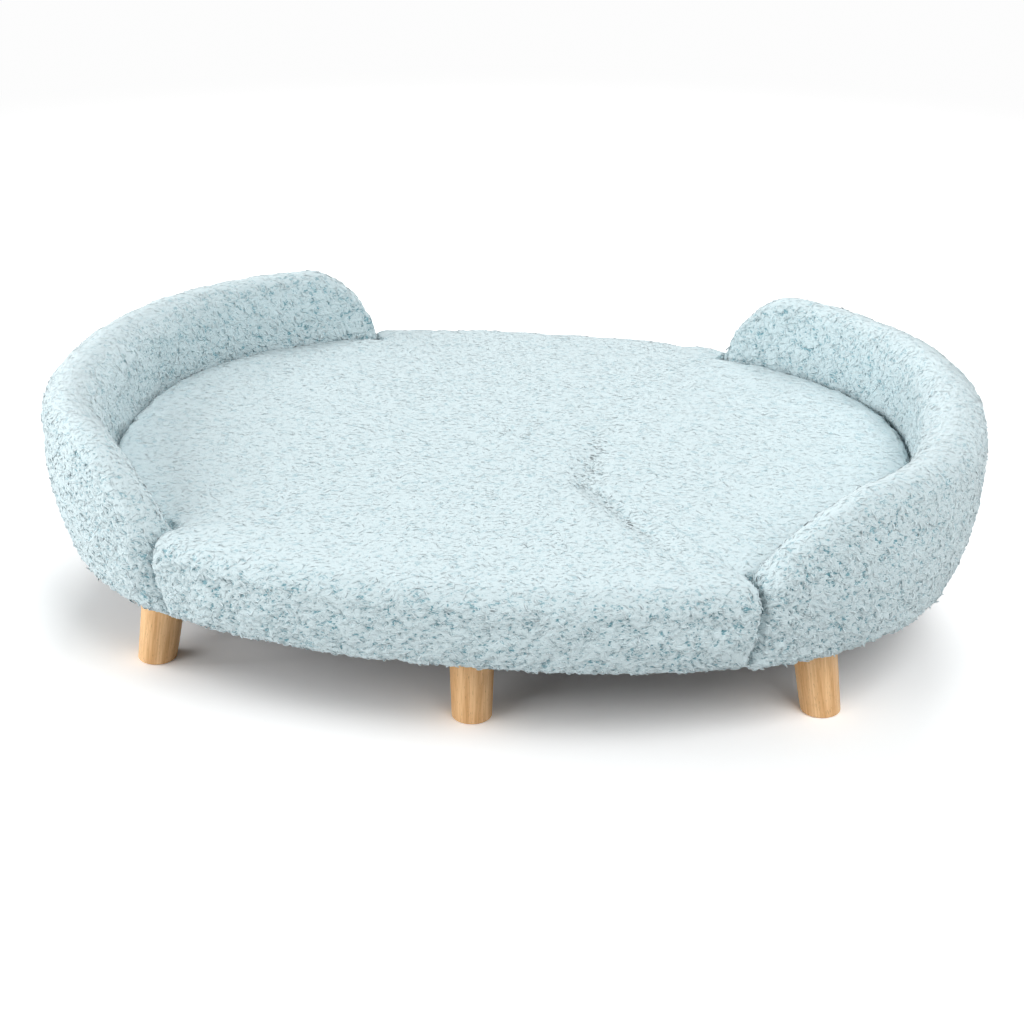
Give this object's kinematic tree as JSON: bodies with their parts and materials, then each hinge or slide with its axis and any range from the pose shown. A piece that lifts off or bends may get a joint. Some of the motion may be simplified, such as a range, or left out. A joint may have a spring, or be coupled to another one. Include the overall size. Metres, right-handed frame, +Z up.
{
  "type": "dog sofa bed",
  "caption": "Oval raised dog sofa bed in pale curly fleece: a padded seat between crescent bolsters, on turned wooden legs",
  "frame": {"origin": "on the floor, under the middle of the bed", "axes": "+X along the length towards the right end as seen from the wide opening, +Y towards the back, +Z up"},
  "size_m": [0.9498, 0.6733, 0.2557],
  "materials": {
    "fleece": "curly pile",
    "foam": "open-cell foam",
    "plywood": "raw plywood",
    "wood": "clear satin lacquer",
    "nonwoven": "thin non-woven",
    "zinc": "zinc plated"
  },
  "bodies": {
    "root": {"base_board": "plywood", "dust_cover": "nonwoven", "seat_foam": "foam", "seat_cover": "fleece", "side_panel_left": "plywood", "glue_blocks_left": "wood", "bolster_foam_left": "foam", "bolster_cover_left": "fleece", "side_panel_right": "plywood", "glue_blocks_right": "wood", "bolster_foam_right": "foam", "bolster_cover_right": "fleece", "panel_screws": "zinc", "leg_front_left": "wood", "leg_front_middle": "wood", "leg_front_right": "wood", "leg_back_left": "wood", "leg_back_middle": "wood", "leg_back_right": "wood", "plate_front_left": "zinc", "plate_front_middle": "zinc", "plate_front_right": "zinc", "plate_back_left": "zinc", "plate_back_middle": "zinc", "plate_back_right": "zinc", "hanger_bolts": "zinc", "plate_screws": "zinc"}
  },
  "joints": []
}
